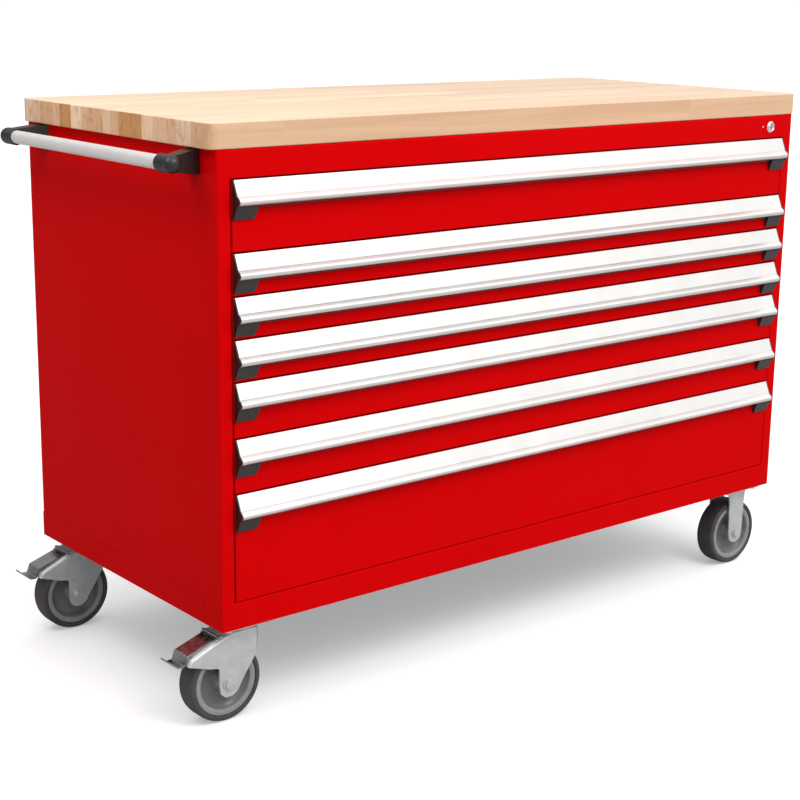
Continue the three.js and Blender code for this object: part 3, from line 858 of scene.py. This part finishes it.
def mounting_plate():
    """The plate with round corners, and a bolt with its washer near each of them."""
    half_x, half_y = PLATE[0] / 2, PLATE[1] / 2
    corner_radius, bolt_inset = 9, 14
    made = prism(rectangle((-half_x, half_x), (-half_y, half_y), corner_radius), "z", PLATE_LOW, PLATE_TOP)
    washer_low = PLATE_LOW - 2
    washer = rod("z", ORIGIN, 9.5, washer_low, PLATE_LOW + 0.1)
    bolt = washer + hex_head("z", ORIGIN, 8, washer_low + 0.1, washer_low - 4)
    for x in (bolt_inset - half_x, half_x - bolt_inset):
        for y in (bolt_inset - half_y, half_y - bolt_inset):
            made = made + bolt.moved(x, y)
    return made


def raceway():
    """The swivel bearing's upper cup and the kingpin with its nut."""
    cup = turned([(0, -14.6), (26, -14.8), (33.5, -14.8), (35.4, -14.2),
                  *arc((34.4, -10.6), 3.6, -70, 40, 7),
                  (36.2, -6.6), (37.6, PLATE_LOW), (0, PLATE_LOW)], "z", ORIGIN)
    pin = turned([(0, -26.8), (5.6, -26.8), (6.6, -25.8), (6.6, -14.4), (0, -14.4)], "z", ORIGIN, 32)
    nut = hex_head("z", ORIGIN, 13, -20.6, -26.2)
    return cup + pin + nut


def hood_height(x):
    """Height of the fork's crown line above a place along the caster."""
    line = [(-124, -60.5), (-121, -53), (-116, -48.6), (-62, -26.0), (-44, -19.4), (-30, -16.0),
            (-20, FORK_TOP), (30, FORK_TOP)]
    for (x0, z0), (x1, z1) in zip(line, line[1:]):
        if x <= x1:
            return z0 + (z1 - z0) * (x - x0) / (x1 - x0)
    return FORK_TOP


def hood(inset, deep):
    """The outside of the pressed hood, or its inside at the sheet's depth. Its far end is round."""
    crown, shoulder = CROWN - inset, 7 - inset
    stations = [-124 + inset, -119, -114, -105, -94, -83, -72, -62, -53, -44, -37, -30, -20, -5, 10, 19]
    stations += [crown * math.cos(math.radians(a)) for a in (54, 48, 42, 36, 30, 24, 18, 12, 8)]
    loops = []
    for x in stations:
        top = hood_height(x) - inset
        wide = min(LEG_OUTER - inset, math.sqrt(crown**2 - x**2) if x > 0 else math.inf)
        bend = min(shoulder, 0.9 * wide)
        outline = [(-wide, deep), *arc((-wide + bend, top - bend), bend, 180, 90, 6)]
        outline += [(-y, z) for y, z in reversed(outline)]
        loops.append([(x, y, z) for y, z in outline])
    return loft(loops)


def swivel_fork():
    """The swivel fork: hood over the wheel on the pedal's side and legs down to the axle."""
    x, z = PIVOT
    side_view = rounded([
        (-128, -59.5, 2), (-116, -40, 3), (-100, 0, 0), (42, 0, 0), (41, -30, 4), (36, -46, 8),
        (24, -64, 12), (8, -88, 20), (-9, -113, 14), (-20, -132, 10), (-32, -139.5, 9),
        (-46, -139.5, 9), (-56.5, -131, 9), (-59, -112, 8), (-58.5, -79, 7), (-80, -75, 8),
        (-104, -67, 8)], 3, 6)
    shell = combine("DIFFERENCE", hood(0, -160), hood(STEEL, -170))
    fork = combine("INTERSECT", shell, prism(side_view, "y", -40, 40))
    ear = rounded([(x - 7, -40, 3), (x + 7, -40, 3), (x + 7, -20, 0), (x - 7, -24, 0)], 2)
    ear = prism(ear, "y", 23.7, 27.4)
    fork = combine("UNION", fork, ear, ear.mirrored(1))
    kingpin_hole = rod("z", ORIGIN, 7.3, -40, 0)
    pedal_hole = rod("y", (x, 0, z), 3.3, -40, 40, 24)
    return combine("DIFFERENCE", fork, kingpin_hole, pedal_hole)


def rigid_fork():
    """A strap bent down from the plate on each side, with a rounded foot at the axle."""
    leg = LEG_OUTER - STEEL / 2
    top = PLATE_LOW - STEEL / 2 + 1.4
    strap = bent([(-leg, -170), (-leg, top), (leg, top), (leg, -170)], STEEL, 6, 6)
    axle_z = AXLE[2]
    half = [(19.5, axle_z - 16, 14), (22.5, axle_z + 2, 6), (25, -40, 20), (28, -14, 8), (31, 5, 0)]
    other_half = [(-x, z, radius) for x, z, radius in reversed(half)]
    side_view = rounded([*other_half, (0, axle_z - 25, 22), *half], 6)
    return combine("INTERSECT", prism(strap, "x", -60, 60), prism(side_view, "y", -40, 40))


def axle():
    """The axle bolt with washers and a chamfered hexagon at each end."""
    inner, outer = LEG_OUTER + 0.2, LEG_OUTER + 1.8
    shank = rod("y", AXLE, 6, -outer, outer)
    washer = turned([(0, inner), (12, inner), (12.6, inner + 0.6), (12.4, outer), (0, outer)],
                    "y", AXLE, 40)
    end = washer + hex_head("y", AXLE, 9.6, outer - 0.2, LEG_OUTER + 6.2)
    return shank + end + end.mirrored(1)


def wheel_ring(half, sides=96):
    """A ring of a wheel from the (radius, y) outline of its rear half, the same on both faces."""
    return turned(half + [(radius, -y) for radius, y in reversed(half)], "y", AXLE, sides)


def wheel_core():
    """Moulded core: a rim with a rounded lip, and the hub."""
    hub = [(6.3, 25), (15.5, 25), (17.6, 24.2), (18.6, 22.4), (19.6, 9)]
    rim = [(51.5, 9), (52.6, 16), (53.8, 19.6), (56.2, 21.3), (60, 21.9), (63.4, 21.4), (64.8, 19.6)]
    return wheel_ring(hub) + wheel_ring(rim)


def wheel_web():
    """The recessed disc between hub and rim."""
    return wheel_ring([(19.2, 10), (22, 6.8), (30, 5.6), (42, 6.4), (48, 8.6), (52, 13)])


def tyre():
    """A rubber tread with rounded shoulders, bonded round the core."""
    return wheel_ring([(65.1, 19.4), (65.4, 21.4), (67.2, 22.8), (69.6, 23.0), (72.4, 22.4),
                       (74.4, 20.6), (75.5, 17.6), (WHEEL, 12)], 112)


def brake_pedal():
    """Pedal: a flanged plate from its pin, a step down and a lip that curls up at its end."""
    x, z = PIVOT
    tip = span("front_brake_pedal")[0][0] - middle("front_swivel_plate").x
    spine = bent([(x + 2, z - 0.5), (-121, -44.5), (-127.5, -61.5), (-140, -61), (tip + 0.8, -47)],
                 3, 4.2, 6)
    plan = rounded([(tip + 1, 16), (-128, 23, 0), (0, 23, 0), (0, -23, 0), (-128, -23, 0),
                    (tip + 1, -16)], 9)
    tread = combine("INTERSECT", prism(spine, "y", -21, 21), prism(plan, "z", -100, 20))
    side_view = rounded([(x + 6, z + 2, 4), (x + 5, z - 8, 4), (-118, -60), (-126, -58),
                         (-121.5, -43.5, 1)], 3)
    window = rectangle((-116, -107), (-53, -45.5), 1.2, 3)
    flange = plate(side_view, [window], "y", 19.5, 22.4)
    pin = rod("y", (x, 0, z), 3, -28.5, 28.5, 24)
    return tread + flange + flange.mirrored(1) + pin


def make_wheel(name, x, y):
    """A wheel on its own body: the core and its web, then the tyre."""
    wheel, core_node, tyre_node = f"{name}_wheel", (f"{name}_wheel_core",), (f"{name}_tyre",)
    piece(f"{name}_core", wheel_core().moved(x, y), GREY, wheel, core_node)
    # the recessed web takes the darker grey, as painted shade
    piece(f"{name}_web", wheel_web().moved(x, y), SHADED_GREY, wheel, core_node)
    piece(f"{name}_rubber", tyre().moved(x, y), TYRE, wheel, tyre_node)


def make_swivel_caster(side, top, race, fork, bolt, pedal):
    """A caster that turns about its kingpin, with its wheel and brake pedal."""
    name = f"{side}_swivel"
    x, y = middle(f"{name}_plate").xy
    upper, brake_node = (f"{name}_plate",), (f"{side}_brake_pedal",)
    piece(f"{name}_mounting_plate", top.moved(x, y), ZINC, "housing", upper, bevel=0.5)
    piece(f"{name}_raceway", race.moved(x, y), ZINC, "housing", upper, bevel=0.3)
    piece(f"{name}_hooded_fork", fork.moved(x, y), ZINC, name, (f"{name}_fork",), bevel=0.8, segments=3)
    piece(f"{name}_axle_bolt", bolt.moved(x - OFFSET, y), ZINC, name, (f"{name}_axle",), bevel=0.3)
    make_wheel(name, x - OFFSET, y)
    # the pedal wears the darker zinc, as painted shade
    piece(f"{side}_pedal", pedal.moved(x, y), SHADED_ZINC, f"{side}_brake", brake_node, bevel=0.5)


def make_rigid_caster(side, top, fork, bolt):
    """A caster that doesn't turn, with its wheel."""
    name = f"{side}_rigid"
    x, y = middle(f"{name}_axle").xy
    fork_node = (f"{name}_fork",)
    piece(f"{name}_mounting_plate", top.moved(x, y), ZINC, "housing", fork_node, bevel=0.5)
    piece(f"{name}_straps", fork.moved(x, y), ZINC, "housing", fork_node, bevel=0.8, segments=3)
    piece(f"{name}_axle_bolt", bolt.moved(x, y), ZINC, "housing", (f"{name}_axle",), bevel=0.3)
    make_wheel(name, x, y)


def make_casters():
    top, bolt = mounting_plate(), axle()
    race, swivel, pedal, rigid = raceway(), swivel_fork(), brake_pedal(), rigid_fork()
    for side in ("front", "rear"):
        make_swivel_caster(side, top, race, swivel, bolt, pedal)
        make_rigid_caster(side, top, rigid, bolt)


# ---------------------------------------------------------------- stage, light and camera

WHITE = (1, 1, 1, 1)
CAMERA_PLACE = (-1516.1, -2360.9, 1147.4)
CAMERA_YAW, CAMERA_PITCH, CAMERA_ROLL = 39.355, 13.474, 0.788
FOCAL_LENGTH = 74.7
LENS_SHIFT = (-0.0091, -0.0299)


def make_floor():
    """A pale floor. The camera sees it glow a little, and all other rays meet a dull one."""
    graph = Graph("pale_floor", Specular_IOR_Level=0.05, Roughness=0.7, Emission_Strength=0.29,
                  Emission_Color=WHITE)
    graph.feed("Base Color", graph.mix(graph.noise(0.6), (0.84, 0.85, 0.85), (0.87, 0.88, 0.88)))
    dull = graph.put("ShaderNodeBsdfDiffuse", {"Color": (0.52, 0.52, 0.52, 1)})
    seen = graph.put("ShaderNodeLightPath").outputs["Is Camera Ray"]
    shaders = {0: seen, 1: dull.outputs[0], 2: graph.shader.outputs[0]}
    choice = graph.put("ShaderNodeMixShader", shaders)
    graph.links.new(choice.outputs[0], graph.nodes["Material Output"].inputs["Surface"])
    reach = (-40, 40)
    floor = as_object("floor", [(x, y, 0) for x, y in rectangle(reach, reach)], [(0, 1, 2, 3)])
    floor.data.materials.append(graph.material)


def make_world():
    """A white backdrop for the camera. The bench is lit by a broad softbox above and in front."""
    world = bpy.data.worlds.new("studio")
    world.use_nodes = True
    bpy.context.scene.world = world
    nodes, links = world.node_tree.nodes, world.node_tree.links
    direction = nodes.new("ShaderNodeTexCoord").outputs["Generated"]

    def glow(towards, start, end, low, high):
        """Light that swells smoothly around one direction."""
        facing = nodes.new("ShaderNodeVectorMath")
        facing.operation = "DOT_PRODUCT"
        facing.inputs[1].default_value = Vector(towards).normalized()
        links.new(direction, facing.inputs[0])
        swell = nodes.new("ShaderNodeMapRange")
        swell.interpolation_type = "SMOOTHSTEP"
        for socket, value in zip(list(swell.inputs)[1:5], (start, end, low, high)):
            socket.default_value = value
        links.new(facing.outputs["Value"], swell.inputs["Value"])
        return swell.outputs["Result"]

    softbox = glow((0.26, -0.42, 0.87), -0.15, 0.95, 0.0, 0.88)
    behind = glow((0.0, 1.0, -0.25), 0.74, 0.95, 0.44, 0.10)
    total = nodes.new("ShaderNodeMath")
    links.new(softbox, total.inputs[0])
    links.new(behind, total.inputs[1])
    lighting = nodes["Background"]
    lighting.inputs["Color"].default_value = WHITE
    links.new(total.outputs[0], lighting.inputs["Strength"])
    backdrop = nodes.new("ShaderNodeBackground")
    backdrop.inputs["Color"].default_value = WHITE
    backdrop.inputs["Strength"].default_value = 1.05
    choice = nodes.new("ShaderNodeMixShader")
    seen = nodes.new("ShaderNodeLightPath").outputs["Is Camera Ray"]
    for index, source in enumerate((seen, lighting.outputs[0], backdrop.outputs[0])):
        links.new(source, choice.inputs[index])
    links.new(choice.outputs[0], nodes["World Output"].inputs["Surface"])


def area_light(name, place, aim, size, power):
    """A round lamp at a place in metres, aimed at a point."""
    light = bpy.data.lights.new(name, "AREA")
    light.shape = "DISK"
    light.size = size
    light.energy = power
    lamp = bpy.data.objects.new(name, light)
    lamp.location = place
    lamp.rotation_euler = (Vector(aim) - Vector(place)).to_track_quat("-Z", "Y").to_euler()
    bpy.context.scene.collection.objects.link(lamp)


def make_camera():
    """The camera stands at the bench's front left, a little above the worktop."""
    yaw, pitch, roll = map(math.radians, (CAMERA_YAW, CAMERA_PITCH, CAMERA_ROLL))
    level = math.cos(pitch)
    away = Vector((math.sin(yaw) * level, math.cos(yaw) * level, -math.sin(pitch)))
    right = Vector((math.cos(yaw), -math.sin(yaw), 0))
    up = right.cross(away)
    x_axis = math.cos(roll) * right + math.sin(roll) * up
    y_axis = math.cos(roll) * up - math.sin(roll) * right
    lens = bpy.data.cameras.new("camera")
    lens.lens = FOCAL_LENGTH
    lens.sensor_width = 36
    lens.shift_x, lens.shift_y = LENS_SHIFT
    camera = bpy.data.objects.new("camera", lens)
    turn = Matrix((x_axis, y_axis, -away)).transposed().to_4x4()
    camera.matrix_world = Matrix.Translation(corner + Vector(CAMERA_PLACE) * MM) @ turn
    bpy.context.scene.collection.objects.link(camera)
    bpy.context.scene.camera = camera


make_housing()
for drawer in DRAWERS:
    make_drawer(drawer)
make_handle()
make_casters()
make_floor()
make_world()
area_light("key", (0.2, -3.0, 3.6), (0, 0, 0.5), size=2.2, power=66)
area_light("side", (-1.5, -0.1, 2.1), (-0.8, 0, 1.15), size=0.7, power=6.5)
make_camera()
bpy.context.scene.view_settings.view_transform = "Standard"
